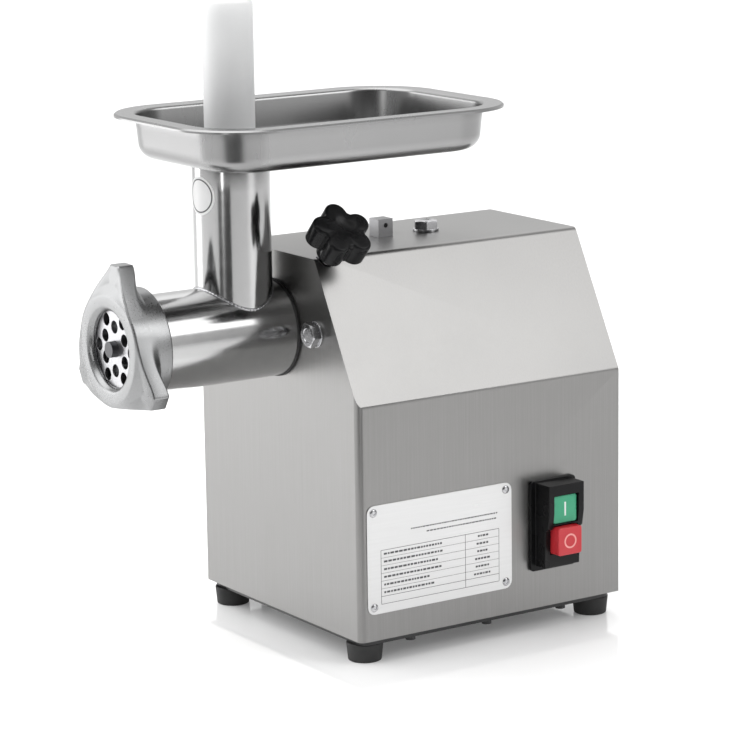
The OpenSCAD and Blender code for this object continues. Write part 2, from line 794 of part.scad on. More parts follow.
// black star knob with six lobes
module lock_knob() on_frame() color(black) {
  on_lock_axis() difference() {
    union() {
      translate([0, 0, 85.5]) cylinder(h = knob_s - 85, r = 10);
      translate([0, 0, knob_s]) {
        cylinder(h = knob_t - 2, r = 17.5);
        cylinder(h = knob_t, r = 13);
        for (k = [1:lobes]) rotate([0, 0, k * 360 / lobes + 33.5]) translate([15.6, 0, 0]) {
          cylinder(h = knob_t - 1, r = 8.2);
          cylinder(h = knob_t, r = 7.2);
        }
      }
    }
    translate([0, 0, 80]) cylinder(h = knob_s + 16 - 80, r = lock_r);
  }
}

// ---------------------------------------------------------------- grinding head

module barrel() on_frame() color(polished) {
  difference() {
    union() {
      bar(shank_y, shoulder_y, shank_r);
      bar(shoulder_y, ring_y + 10, barrel_r);
      bar(ring_y + 26, ring_y + 8, barrel_r + 2.6);
    }
    bar(barrel_wall_y, ring_y, bore_r);
    bar(shank_y + 1, barrel_wall_y - 1, 16);
    translate([0, tube_y, axis_z]) cylinder(h = 60, r = tube_r - tube_wall);
    pin_block();
  }
}

module feed_tube() on_frame() color(polished) {
  difference() {
    translate([0, tube_y, axis_z]) cylinder(h = tray_z - axis_z, r = tube_r);
    translate([0, tube_y, axis_z - 1]) cylinder(h = tray_z, r = tube_r - tube_wall);
    bar(front_y, ring_y, barrel_r);
  }
}

// round label without any sign on it
module tube_label() on_frame() color([0.9, 0.88, 0.86]) {
  intersection() {
    translate([0, tube_y, axis_z + 60]) difference() {
      cylinder(h = 60, r = tube_r + 0.3);
      translate([0, 0, -1]) cylinder(h = 62, r = tube_r);
    }
    translate([0, tube_y, tray_z - 23]) rotate([0, 0, label_turn]) rotate([90, 0, 0])
      cylinder(h = 60, r = 14.3);
  }
}
label_turn = 6;

module shaft_bush() on_frame() color([0.72, 0.55, 0.25]) {
  ring(shank_y, barrel_wall_y, 16, journal_r + fit);
}

// small key at the bottom of the bore that stops the plate from turning
module pin_block() {
  translate([-2, ring_y + 7, axis_z - bore_r - 1.5]) cube([4, 7, 3]);
}

module plate_pin() on_frame() color(bolt_steel) pin_block();

// disc with two rings of round holes
module grinder_plate() on_frame() color([0.8, 0.81, 0.82]) {
  difference() {
    bar(plate_y + 7, plate_y, plate_r);
    bar(plate_y + 8, plate_y - 1, spigot_r + 0.05);
    translate([0, plate_y + 3.5, axis_z]) for (k = [0:5]) {
      rotate([0, k * 60 + 30, 0]) translate([16.2, 0, 0]) rotate([90, 0, 0])
        cylinder(h = 20, r = 4.7, center = true);
      rotate([0, k * 60, 0]) translate([23.6, 0, 0]) rotate([90, 0, 0])
        cylinder(h = 20, r = 4.7, center = true);
    }
    translate([-2.1, plate_y - 1, axis_z - bore_r - 1]) cube([4.2, 9, 3]);
  }
}

// worm with a square for the knife, a spigot for the plate and a square tang
module auger() on_frame() color([0.82, 0.83, 0.83]) {
  pitch = 38;
  turn = 360 * (thrust_y - 7 - screw_y - 3) / pitch;
  bar(knife_y + plate_gap, ring_y + 0.6, spigot_r);
  translate([0, (knife_y + plate_gap + screw_y) / 2, axis_z])
    cube([square_w, screw_y - knife_y - plate_gap, square_w], center = true);
  bar(thrust_y, screw_y, core_r);
  bar(thrust_y, thrust_y - 4, 29);
  bar(shank_y + 1, thrust_y, journal_r);
  translate([0, (shank_y + nose_y + 13) / 2, axis_z])
    cube([tang_w, nose_y + 13 - shank_y, tang_w], center = true);
  translate([0, thrust_y - 7, axis_z]) rotate([90, 0, 0])
    loft([for (k = [0:84]) winding(k / 84 * turn, k / 84 * turn / 360 * pitch,
      [[-3.4, core_r - 1], [3.4, core_r - 1], [1.8, auger_r], [-1.8, auger_r]])]);
}
thrust_y = barrel_wall_y - 2;
plate_gap = 0.2;

module thrust_washer() on_frame() color([0.92, 0.92, 0.9]) {
  ring(barrel_wall_y, thrust_y, 22, journal_r);
}

// four-armed knife on the auger's square
module knife() on_frame() color([0.7, 0.71, 0.73]) {
  difference() {
    union() {
      bar(screw_y, knife_y + plate_gap, 11.5);
      for (k = [0:3]) translate([0, knife_y + plate_gap, axis_z]) rotate([0, k * 90, 0])
        translate([-3, 0, 8]) cube([9, 8, auger_r - 9.5]);
    }
    translate([0, knife_y, axis_z]) cube([square_w, 50, square_w], center = true);
  }
}

// ring nut with three swept-back ears
module ring_nut() on_frame() color(casting) {
  difference() {
    union() {
      bar(ring_y + 30.2, ring_y, ring_r);
      for (a = [88, -32, -152]) translate([0, ring_y, axis_z]) rotate([0, -a, 0]) hull() {
        translate([0, 14, 0]) rotate([90, 0, 0]) cylinder(h = 14, r = ring_r - 0.1, $fn = 32);
        translate([ear_r - 5, 6, -6]) cube([5, 13, 12]);
      }
    }
    bar(ring_y + 31, ring_y + 6, barrel_r + 3);
    bar(ring_y + 7, ring_y - 1, lip_r);
    translate([0, ring_y + 3, axis_z]) rotate([90, 0, 0]) cylinder(h = 3.01, r1 = lip_r, r2 = lip_r + 3);
  }
}

// ---------------------------------------------------------------- tray and pusher

tray_y = tube_y + 70;
gauge = 1;

function bowl_steps(inset, floor_z, r, top) = concat(
  [for (a = [0:15:90]) [inset + r - r * sin(a), floor_z + r - r * cos(a)]], [[inset, top]]);

module tray() on_frame() color(polished) {
  hx = tray_w / 2;
  hy = tray_l / 2;
  rim_z = tray_z + tray_d;
  difference() {
    union() {
      translate([0, tray_y, 0]) {
        translate([0, 0, rim_z - 1.4]) linear_extrude(1.4) polygon(round_box(hx, hy, tray_corner_r));
        stack(hx, hy, tray_corner_r, bowl_steps(rim_w, tray_z, 12, rim_z - 0.7));
      }
      translate([0, tube_y, tray_z - 14]) cylinder(h = 15, r = tube_r - tube_wall - 0.4);
    }
    translate([0, tray_y, 0])
      stack(hx, hy, tray_corner_r, bowl_steps(rim_w + gauge, tray_z + gauge, 11, rim_z + 1));
    translate([0, tube_y, tray_z - 20]) cylinder(h = 40, r = tube_r - tube_wall - 1.4);
  }
}

module pusher() on_frame() color([0.93, 0.93, 0.93]) {
  bottom = axis_z + auger_r + 1;
  top = z0 + pusher_top_h;
  translate([0, tube_y, 0]) rotate_extrude() polygon(concat([[0, bottom]],
    arc([pusher_r - 1.5, bottom + 1.5], 1.5, -90, 0), arc([pusher_r - 4, top - 4], 4, 0, 90),
    [[0, top]]));
}

casing_cover();
rear_panel();
base_slab();
rubber_feet();
foot_screws();
base_screws();
rear_screws();
gearbox_housing();
gearbox_cover();
gearbox_screws();
flange_bolts();
flange_washers();
head_gasket();
output_bearings();
layshaft_bearings();
motor_bearings();
output_seal();
motor_shell();
stator_core();
stator_windings();
motor_rear_bell();
motor_cradle();
motor_cradle_screws();
capacitor();
capacitor_clamp();
terminal_block();
wiring();
switch_housing();
start_spring();
stop_spring();
start_button();
stop_button();
rating_plate();
plate_rivets();
top_bracket();
top_bolt();
top_washer();
top_lug();
cable_gland();
lock_knob();
lock_screw();
rotor_core();
motor_shaft();
cooling_fan();
layshaft_gear();
layshaft_pinion();
output_gear();
output_shaft();
barrel();
feed_tube();
tube_label();
shaft_bush();
plate_pin();
grinder_plate();
auger();
thrust_washer();
knife();
ring_nut();
tray();
pusher();
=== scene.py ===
"""Electric meat grinder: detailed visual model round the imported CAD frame.

Lengths in the functions that make pieces are millimetres, which add_piece() turns into metres.
The stage, the lights and the camera are placed in metres.
"""
import itertools
import json
import math
import random

import bmesh
import bpy
from mathutils import Matrix, Vector


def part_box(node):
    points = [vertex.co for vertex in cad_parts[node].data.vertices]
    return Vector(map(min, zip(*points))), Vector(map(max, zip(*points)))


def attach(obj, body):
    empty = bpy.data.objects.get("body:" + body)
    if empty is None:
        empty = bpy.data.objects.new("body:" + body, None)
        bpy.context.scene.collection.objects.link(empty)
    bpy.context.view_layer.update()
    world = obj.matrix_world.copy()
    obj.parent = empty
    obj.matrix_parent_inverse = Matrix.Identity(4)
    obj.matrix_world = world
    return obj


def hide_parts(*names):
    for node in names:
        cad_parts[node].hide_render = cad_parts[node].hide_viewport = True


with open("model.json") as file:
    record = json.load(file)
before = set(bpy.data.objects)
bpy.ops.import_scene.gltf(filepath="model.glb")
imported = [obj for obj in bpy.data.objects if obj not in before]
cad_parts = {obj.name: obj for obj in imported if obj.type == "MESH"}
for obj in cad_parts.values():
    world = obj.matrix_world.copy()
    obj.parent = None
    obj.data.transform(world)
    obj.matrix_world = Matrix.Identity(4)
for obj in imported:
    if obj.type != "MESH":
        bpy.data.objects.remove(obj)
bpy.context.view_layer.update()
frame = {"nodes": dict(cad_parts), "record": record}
random.seed(7)

NODES = frame["nodes"]
BODY_OF = {n: b for b, ns in frame["record"]["behaviour"]["bodies"].items() for n in ns}
SLOT_OF = {s["node"]: s["material_slot"] for s in frame["record"]["subparts"]}
TAU = 2 * math.pi
PER_M = 1000  # millimetres in a metre


def lo_hi(node):
    """Lowest and highest corner of a CAD node, in millimetres."""
    lo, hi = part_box(node)
    return Vector(lo) * PER_M, Vector(hi) * PER_M


# ------------------------------------------------------------ places and sizes from the CAD

casing_lo, casing_hi = lo_hi("casing_cover")
foot_lo, foot_hi = lo_hi("rubber_feet")
barrel_lo, barrel_hi = lo_hi("barrel")
ring_lo, ring_hi = lo_hi("ring_nut")
tube_lo, tube_hi = lo_hi("feed_tube")
tray_lo, tray_hi = lo_hi("tray")
pusher_lo, pusher_hi = lo_hi("pusher")
bush_lo, bush_hi = lo_hi("shaft_bush")
plate_lo, plate_hi = lo_hi("rating_plate")
start_lo, start_hi = lo_hi("start_button")
stop_lo, stop_hi = lo_hi("stop_button")

MID_X = (casing_lo.x + casing_hi.x) / 2
AXIS_Z = (bush_lo.z + bush_hi.z) / 2
FRONT_Y = casing_lo.y
TUBE_Y = (tube_lo.y + tube_hi.y) / 2
TUBE_R = (tube_hi.x - tube_lo.x) / 2

# sizes of the CAD that no node's box gives, in millimetres
BARREL_R, BORE_R = 36.3, 31.2
SHANK_R, SHANK_BORE_R = 26, 16
TUBE_WALL = 2
GASKET_T = 2
BARREL_BACK = 6  # from the casing's front to the barrel's inner back wall
BOLT_R, BOLT_FLATS, BOLT_HEAD_H = 5, 17, 6.4
WASHER_R, WASHER_HOLE_R, WASHER_T = 10, 5.2, 2

# ways to lay local Z: towards the head, out of the switch side, along the head and up the feed tube
FORWARD = Matrix.Rotation(math.pi / 2, 4, "X")
SIDEWAYS = Matrix.Rotation(math.pi / 2, 4, "Y")
HEAD_AXIS = Matrix.Translation((MID_X, 0, AXIS_Z)) @ FORWARD
TUBE_AXIS = Matrix.Translation((MID_X, TUBE_Y, 0))


# ------------------------------------------------------------ shader nodes

USUAL_LOW, USUAL_HIGH = 0.3, 0.7  # most values of a noise texture lie between these
GRAIN_SHARE = 0.6  # what the grain has of a metal's pattern; smudges have the rest
METAL_DEPTH, PLASTIC_DEPTH = 0.00002, 0.00005  # depth of the fine grain, in metres


def add_node(tree, kind, **values):
    """New node with its settings; a value that is no setting goes to the input of that name."""
    node = tree.nodes.new(kind)
    for key, value in values.items():
        if hasattr(node, key):
            setattr(node, key, value)
        else:
            node.inputs[key.replace("_", " ")].default_value = value
    return node


class Nodes:
    """Short spelling for building one material's node tree."""

    def __init__(self, name):
        self.mat = bpy.data.materials.new(name)
        self.mat.use_nodes = True
        self.tree = self.mat.node_tree
        self.bsdf = self.tree.nodes["Principled BSDF"]
        self.coord = self.new("ShaderNodeTexCoord").outputs["Object"]

    def new(self, kind, **values):
        return add_node(self.tree, kind, **values)

    def link(self, a, b):
        self.tree.links.new(a, b)

    def noise(self, scale, stretch=(1, 1, 1), detail=3, roughness=0.5):
        mapping = self.new("ShaderNodeMapping", Scale=stretch)
        self.link(self.coord, mapping.inputs["Vector"])
        tex = self.new("ShaderNodeTexNoise", Scale=scale, Detail=detail, Roughness=roughness)
        self.link(mapping.outputs["Vector"], tex.inputs["Vector"])
        return tex.outputs["Fac"]

    def roughen(self, fac, middle, spread):
        """Roughness that follows fac over its usual range, spread to both sides of middle."""
        r = self.new("ShaderNodeMapRange", From_Min=USUAL_LOW, From_Max=USUAL_HIGH,
                     To_Min=middle - spread, To_Max=middle + spread)
        self.link(fac, r.inputs["Value"])
        self.link(r.outputs["Result"], self.bsdf.inputs["Roughness"])

    def tint(self, fac, colour, spread):
        """Base colour that follows fac over its usual range, a little darker or lighter than colour."""
        ramp = self.new("ShaderNodeValToRGB")
        low, high = ramp.color_ramp.elements
        low.position, high.position = USUAL_LOW, USUAL_HIGH
        low.color = (*(max(0, c - spread) for c in colour), 1)
        high.color = (*(min(1, c + spread) for c in colour), 1)
        self.link(fac, ramp.inputs["Fac"])
        self.link(ramp.outputs["Color"], self.bsdf.inputs["Base Color"])

    def bump(self, height, strength, depth):
        node = self.new("ShaderNodeBump", Strength=strength, Distance=depth)
        self.link(height, node.inputs["Height"])
        self.link(node.outputs["Normal"], self.bsdf.inputs["Normal"])

    def set(self, **values):
        for key, value in values.items():
            self.bsdf.inputs[key.replace("_", " ")].default_value = value


def metal(name, colour, rough, stretch, scale, spread=0.06, rough_spread=0.08, bump=0.05,
          anisotropic=0.0):
    """Bare metal whose grain runs along the axis with the smallest stretch."""
    n = Nodes(name)
    grain = n.noise(scale, stretch, detail=4, roughness=0.6)
    smudge = n.noise(14, detail=2)
    part = n.new("ShaderNodeMath", operation="MULTIPLY")
    part.inputs[1].default_value = GRAIN_SHARE
    n.link(grain, part.inputs[0])
    both = n.new("ShaderNodeMath", operation="MULTIPLY_ADD")
    both.inputs[1].default_value = 1 - GRAIN_SHARE
    n.link(smudge, both.inputs[0])
    n.link(part.outputs[0], both.inputs[2])
    n.tint(both.outputs[0], colour, spread)
    n.roughen(both.outputs[0], rough, rough_spread)
    n.bump(grain, bump, METAL_DEPTH)
    n.set(Metallic=1.0, Anisotropic=anisotropic)
    return n.mat


def plastic(name, colour, rough, grain=900, bump=0.12, spread=0.015, sss=0.0, shine=0.5):
    """Moulded plastic, rubber, film or paint with a fine grain."""
    n = Nodes(name)
    wide = n.noise(30)
    n.tint(wide, colour, spread)
    n.roughen(wide, rough, 0.05)
    n.bump(n.noise(grain, detail=2), bump, PLASTIC_DEPTH)
    n.set(Specular_IOR_Level=shine)
    if sss:
        n.set(Subsurface_Weight=sss, Subsurface_Scale=0.03, Subsurface_Radius=(1.0, 1.0, 1.0))
    return n.mat


MATERIALS = {
    "casing_sheet": metal("brushed_sheet", (0.25, 0.247, 0.243), 0.34, (1, 1, 0.012), 900,
                          spread=0.02, rough_spread=0.045, bump=0.07, anisotropic=0.3),
    "polished_steel": metal("polished_steel", (0.44, 0.44, 0.44), 0.15, (1, 1, 1), 120,
                            spread=0.02, rough_spread=0.04, bump=0.02),
    "bolt_steel": metal("bolt_steel", (0.44, 0.44, 0.45), 0.22, (1, 1, 1), 300),
    "bearing_steel": metal("bearing_steel", (0.6, 0.6, 0.62), 0.2, (1, 0.1, 1), 300),
    "gear_steel": metal("gear_steel", (0.45, 0.45, 0.45), 0.34, (1, 0.05, 1), 400),
    "plate_steel": metal("plate_steel", (0.4, 0.4, 0.41), 0.3, (1, 1, 0.05), 500),
    "cast_alloy": metal("cast_alloy", (0.25, 0.252, 0.254), 0.3, (1, 1, 1), 700, spread=0.02,
                        bump=0.02),
    "plate_alloy": metal("plate_alloy", (0.62, 0.62, 0.62), 0.35, (1, 0.02, 1), 700, spread=0.03),
    "core_iron": metal("core_iron", (0.25, 0.25, 0.27), 0.45, (1, 12, 1), 120),
    "copper_wire": metal("copper_wire", (0.7, 0.32, 0.14), 0.3, (1, 1, 1), 500),
    "bronze": metal("bronze", (0.62, 0.42, 0.2), 0.3, (1, 1, 1), 250),
    "black_paint": plastic("black_paint", (0.02, 0.02, 0.021), 0.42, grain=500),
    "black_plastic": plastic("black_plastic", (0.007, 0.007, 0.0075), 0.26, grain=1200,
                             spread=0.003, shine=0.14),
    "black_rubber": plastic("black_rubber", (0.014, 0.014, 0.014), 0.62, grain=700, bump=0.25),
    "white_plastic": plastic("white_plastic", (0.68, 0.683, 0.686), 0.45, bump=0.04, sss=0.8,
                             shine=0.3),
    "pale_plastic": plastic("pale_plastic", (0.75, 0.74, 0.7), 0.45),
    "green_plastic": plastic("green_plastic", (0.035, 0.36, 0.19), 0.35),
    "red_plastic": plastic("red_plastic", (0.55, 0.02, 0.03), 0.33),
    "label_film": plastic("label_film", (0.72, 0.72, 0.72), 0.4),
    "lead_insulation": plastic("lead_insulation", (0.2, 0.03, 0.02), 0.5),
}
# looks of single pieces that differ from the look of their slot
SATIN = metal("satin_steel", (0.26, 0.26, 0.26), 0.26, (1, 1, 0.1), 40, spread=0.01,
              rough_spread=0.03, bump=0.0)
OWN_LOOK = {
    "top_lug": metal("lug_steel", (0.22, 0.22, 0.225), 0.34, (1, 1, 1), 300, spread=0.02),
    "auger": metal("dark_iron", (0.10, 0.10, 0.105), 0.45, (1, 1, 1), 200, spread=0.02),
}
PRINT_GREY = plastic("print_grey", (0.08, 0.08, 0.085), 0.5)
MARK_WHITE = plastic("mark_white", (0.8, 0.85, 0.82), 0.4)
MARK_ROSE = plastic("mark_rose", (0.85, 0.35, 0.33), 0.4)


# ------------------------------------------------------------ points and outlines

def full_turn(count):
    """Angles of equal steps round a circle."""
    return [TAU * k / count for k in range(count)]


def polar(r, a, z):
    """Point at radius r and angle a round local Z."""
    return Vector((r * math.cos(a), r * math.sin(a), z))


def on_tube(r, a, z):
    """Point at radius r and angle a round the feed tube's axis."""
    return Vector((MID_X + r * math.cos(a), TUBE_Y + r * math.sin(a), z))


def arc(cx, cy, r, start, end, n):
    """Arc from one angle to another, in degrees, in n steps."""
    angles = [math.radians(start + (end - start) * k / n) for k in range(n + 1)]
    return [(cx + r * math.cos(a), cy + r * math.sin(a)) for a in angles]


def rounded_box(hx, hy, r, n):
    """Outline of a rounded rectangle, anticlockwise, with n steps at each corner."""
    corners = ((hx - r, hy - r, 0), (r - hx, hy - r, 90), (r - hx, r - hy, 180), (hx - r, r - hy, 270))
    return [p for cx, cy, start in corners for p in arc(cx, cy, r, start, start + 90, n)]


def tube_section(r_in, r_out, low, high):
    """Corners of a plain ring's section, as (radius, height)."""
    return [(r_in, low), (r_out, low), (r_out, high), (r_in, high)]


def soften(points, r, n=4, closed=False):
    """Rounds the corners of a polyline: each becomes a short curve that starts r before it."""
    out = []
    count = len(points)
    for i, p in enumerate(points):
        p = Vector(p)
        if not closed and i in (0, count - 1):
            out.append(p)
            continue
        a, b = Vector(points[i - 1]), Vector(points[(i + 1) % count])
        ra = min(r, (a - p).length * 0.45)
        rb = min(r, (b - p).length * 0.45)
        start, end = p + (a - p).normalized() * ra, p + (b - p).normalized() * rb
        for k in range(n + 1):
            t = k / n
            out.append(start * (1 - t) ** 2 + p * 2 * t * (1 - t) + end * t * t)
    return out


# ------------------------------------------------------------ meshes and pieces

CREASE = 35  # edges that bend by more degrees than this stay sharp
PINHOLE = 0.02  # radius that stands for 0 on a lathe
redrawn = set()  # CAD nodes that a piece replaces


def bridge(bm, rings, closed=False):
    """Quads between rings of vertices; a row that isn't closed has caps at both ends."""
    made = [[bm.verts.new(p) for p in ring] for ring in rings]
    pairs = list(zip(made, made[1:]))
    if closed:
        pairs.append((made[-1], made[0]))
    for a, b in pairs:
        for i in range(len(a)):
            j = (i + 1) % len(a)
            bm.faces.new((a[i], a[j], b[j], b[i]))
    if not closed:
        bm.faces.new(made[0])
        bm.faces.new(made[-1])


def lathe(bm, profile, place, seg=96, closed=False):
    """Turns a profile of (radius, height) about local Z."""
    angles = full_turn(seg)
    bridge(bm, [[place @ polar(max(r, PINHOLE), a, h) for a in angles] for r, h in profile], closed)


def slab_box(bm, lo, hi):
    """Box between two corners."""
    verts = [bm.verts.new(corner) for corner in itertools.product(*zip(lo, hi))]
    for f in ((0, 1, 3, 2), (4, 6, 7, 5), (0, 4, 5, 1), (2, 3, 7, 6), (0, 2, 6, 4), (1, 5, 7, 3)):
        bm.faces.new([verts[i] for i in f])


def to_metres(bm):
    bmesh.ops.scale(bm, vec=(1 / PER_M,) * 3, verts=bm.verts)


def mesh_object(name, bm):
    """Object in the scene with the faces of bm, which is freed."""
    mesh = bpy.data.meshes.new(name)
    bm.to_mesh(mesh)
    bm.free()
    obj = bpy.data.objects.new(name, mesh)
    bpy.context.scene.collection.objects.link(obj)
    return obj


def shade_smooth(mesh, crease=CREASE):
    for p in mesh.polygons:
        p.use_smooth = True
    mesh.set_sharp_from_angle(angle=math.radians(crease))


def add_metric(name, bm, body, slot, replaces=(), material=None, bevel=0.0, angle=CREASE,
               segments=3):
    """Turns a bmesh in metres into a named, riding piece."""
    bmesh.ops.recalc_face_normals(bm, faces=bm.faces)
    obj = mesh_object(name, bm)
    shade_smooth(obj.data, angle)
    if bevel:
        mod = obj.modifiers.new("bevel", "BEVEL")
        mod.width = bevel / PER_M
        mod.segments = segments
        mod.limit_method = "ANGLE"
        mod.angle_limit = math.radians(angle)
        mod.use_clamp_overlap = True
        mod.harden_normals = True
    obj.data.materials.append(material or MATERIALS[slot])
    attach(obj, body)
    if replaces:
        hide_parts(*replaces)
        redrawn.update(replaces)
    return obj


def add_piece(name, bm, body, slot, replaces=(), material=None, bevel=0.0, angle=CREASE):
    """Turns a bmesh in millimetres into a named, riding piece."""
    to_metres(bm)
    return add_metric(name, bm, body, slot, replaces, material, bevel, angle)


def refine(node, bevel, angle=38):
    """A copy of a CAD node with welded corners, merged flats and rounded edges."""
    bm = bmesh.new()
    bm.from_mesh(NODES[node].data)
    bmesh.ops.remove_doubles(bm, verts=bm.verts, dist=1e-6)
    bmesh.ops.dissolve_limit(bm, angle_limit=math.radians(0.5), verts=bm.verts, edges=bm.edges)
    add_metric(node + "_shape", bm, BODY_OF[node], SLOT_OF[node], (node,), OWN_LOOK.get(node),
               bevel, angle, segments=2)


def carve(obj, cutter_bm):
    """Cuts the shape of cutter_bm, in millimetres, out of obj for good."""
    to_metres(cutter_bm)
    bmesh.ops.recalc_face_normals(cutter_bm, faces=cutter_bm.faces)
    cutter = mesh_object("cutter", cutter_bm)
    mod = obj.modifiers.new("carve", "BOOLEAN")
    mod.operation = "DIFFERENCE"
    mod.object = cutter
    mod.solver = "EXACT"
    bpy.context.view_layer.update()
    depsgraph = bpy.context.evaluated_depsgraph_get()
    result = bpy.data.meshes.new_from_object(obj.evaluated_get(depsgraph))
    obj.modifiers.clear()
    obj.data = result
    shade_smooth(result)
    bpy.data.objects.remove(cutter)


# ------------------------------------------------------------ casing, switch and other refined CAD

# CAD nodes that keep their shape and only get rounded edges, with the width of the rounding
REFINED = {
    "casing_cover": 0.5, "rear_panel": 0.3, "base_slab": 0.6, "rating_plate": 0.15,
    "switch_housing": 0.5, "start_button": 0.7, "stop_button": 0.8, "top_lug": 0.5,
    "cable_gland": 0.5, "grinder_plate": 0.25, "knife": 0.25, "gearbox_housing": 0.5,
}
for node_name, width in REFINED.items():
    refine(node_name, width)


# ------------------------------------------------------------ feet

def make_feet():
    """Four rubber feet, each with a recess for its screw's head."""
    r, sole_r, recess_r, recess_h, hole_r = 14, 12.6, 6.5, 6, 3.05
    top = foot_hi.z
    profile = soften([(recess_r, 0), (sole_r, 0), (r, top), (hole_r, top), (hole_r, recess_h),
                      (recess_r, recess_h)], 1.0, closed=True)
    bm = bmesh.new()
    for x in (foot_lo.x + r, foot_hi.x - r):
        for y in (foot_lo.y + r, foot_hi.y - r):
            lathe(bm, profile, Matrix.Translation((x, y, 0)), 48, closed=True)
    add_piece("feet", bm, "machine", "black_rubber", ("rubber_feet",))


make_feet()


# ------------------------------------------------------------ bolts and washers

def hex_radius(a, flats):
    """Distance from the middle of a hexagon to its side at angle a."""
    return flats / 2 / math.cos((a + math.pi / 6) % (math.pi / 3) - math.pi / 6)


def hex_head(bm, place, flats, h):
    """Chamfered hexagon head standing on local Z = 0, with a shallow dish in its top."""
    angles = full_turn(72)
    half = flats / 2
    slope = math.tan(math.radians(30))
    sides = [(hex_radius(a, flats), a) for a in angles]
    rings = [[polar(r, a, 0) for r, a in sides],
             [polar(r, a, h - (r - 0.97 * half) * slope) for r, a in sides]]
    for share, z in ((0.95, h), (0.62, h), (0.56, h - 0.4)):
        rings.append([polar(half * share, a, z) for a in angles])
    bridge(bm, [[place @ p for p in ring] for ring in rings])


def add_bolt(bolts, washers, place, shank, turn=0):
    """M10 bolt and its washer, which lies on local Z = 0; shank is its profile from the tip up."""
    washer = tube_section(WASHER_HOLE_R, WASHER_R, 0, WASHER_T)
    lathe(washers, soften(washer, 0.4, closed=True), place, 64, closed=True)
    spin = Matrix.Rotation(math.radians(turn), 4, "Z")
    hex_head(bolts, place @ Matrix.Translation((0, 0, WASHER_T)) @ spin, BOLT_FLATS, BOLT_HEAD_H)
    under_head = WASHER_T + 0.2
    lathe(bolts, [(0, shank[0][1]), *shank, (BOLT_R, under_head), (0, under_head)], place, 48)


def make_bolts():
    """Two bolts in the casing's front and one in its top."""
    lo, hi = lo_hi("flange_washers")
    half = (hi.x - lo.x) / 2 - WASHER_R
    bolts, washers = bmesh.new(), bmesh.new()
    for side, turn in ((-1, 8), (1, 22)):
        place = Matrix.Translation((MID_X + side * half, FRONT_Y, (lo.z + hi.z) / 2)) @ FORWARD
        add_bolt(bolts, washers, place, [(BOLT_R - 0.4, -13), (BOLT_R, -12.5)], turn)
    add_piece("front_bolts", bolts, "machine", "bolt_steel", ("flange_bolts",), angle=25)
    add_piece("front_washers", washers, "machine", "bolt_steel", ("flange_washers",))
    lo, hi = lo_hi("top_washer")
    bolts, washers = bmesh.new(), bmesh.new()
    add_bolt(bolts, washers, Matrix.Translation(((lo.x + hi.x) / 2, (lo.y + hi.y) / 2, lo.z)),
             [(BOLT_R, -12)])
    add_piece("top_hex_bolt", bolts, "machine", "bolt_steel", ("top_bolt",), angle=25)
    add_piece("top_plain_washer", washers, "machine", "bolt_steel", ("top_washer",))


make_bolts()


# ------------------------------------------------------------ grinding head

def make_barrel():
    """Shank, barrel and front collar in one turned piece, open under the feed tube."""
    back, front = -barrel_hi.y, -barrel_lo.y
    shoulder, wall = GASKET_T - FRONT_Y, BARREL_BACK - FRONT_Y
    collar_r, collar_back = BARREL_R + 2.6, front - 17.2
    profile = soften([(SHANK_BORE_R, back), (SHANK_R, back), (SHANK_R, shoulder), (BARREL_R, shoulder),
                      (BARREL_R, collar_back - 1), (collar_r, collar_back), (collar_r, front),
                      (BORE_R, front), (BORE_R, wall), (SHANK_BORE_R, wall)], 0.5, 3, closed=True)
    bm = bmesh.new()
    lathe(bm, profile, HEAD_AXIS, 144, closed=True)
    obj = add_piece("barrel_body", bm, "head", "polished_steel", ("barrel",))
    cutter = bmesh.new()
    lathe(cutter, tube_section(0, TUBE_R - TUBE_WALL, AXIS_Z, AXIS_Z + 60), TUBE_AXIS)
    carve(obj, cutter)


def make_gasket():
    """Rubber ring between the casing and the barrel's shoulder, a little wider than the barrel."""
    profile = tube_section(SHANK_R + 0.6, BARREL_R + 0.8, -FRONT_Y, GASKET_T - FRONT_Y)
    bm = bmesh.new()
    lathe(bm, soften(profile, 0.5, closed=True), HEAD_AXIS, closed=True)
    add_piece("gasket", bm, "machine", "black_rubber", ("head_gasket",))


def saddle(a, r, sink=0.0):
    """Point at angle a where a tube of radius r meets the barrel, or a barrel smaller by sink."""
    return on_tube(r, a, AXIS_Z + math.sqrt((BARREL_R - sink) ** 2 - (r * math.cos(a)) ** 2))


def make_tube():
    """Feed tube, cut at its foot to the barrel's curve and sunk a little into the barrel's wall."""
    angles = full_turn(120)
    top = tube_hi.z
    outer, inner, sink = TUBE_R, TUBE_R - TUBE_WALL, 1.5
    rings = [[saddle(a, inner, sink) for a in angles], [saddle(a, outer, sink) for a in angles]]
    rings.append([Vector((p.x, p.y, top - 30)) for p in rings[1]])
    for r, z in soften([(outer, top - 20), (outer, top), (inner, top), (inner, top - 20)], 0.7, 3):
        rings.append([on_tube(r, a, z) for a in angles])
    bm = bmesh.new()
    bridge(bm, rings, closed=True)
    add_piece("feed_tube_body", bm, "head", "polished_steel", ("feed_tube",), angle=45)


def make_weld():
    """Weld bead round the foot of the feed tube, with the small ripples of a hand weld."""
    bead_r, coarse, fine = 1.15, 0.06, 0.12
    rings = []
    for a in full_turn(360):
        centre = saddle(a, TUBE_R + 0.2)
        out = Vector((math.cos(a), math.sin(a), 0))
        r = bead_r + fine * math.sin(70 * a) + coarse * math.sin(23 * a)
        rings.append([centre + out * r * math.cos(b) + Vector((0, 0, r * math.sin(b)))
                      for b in full_turn(10)])
    bm = bmesh.new()
    bridge(bm, rings, closed=True)
    add_piece("saddle_weld", bm, "head", "polished_steel", material=MATERIALS["bolt_steel"], angle=80)


SKIRT_R, EAR_R, EAR_HALF_W = 43.2, 62.0, 5.5
EARS = [math.radians(d) for d in (88, -32, -152)]


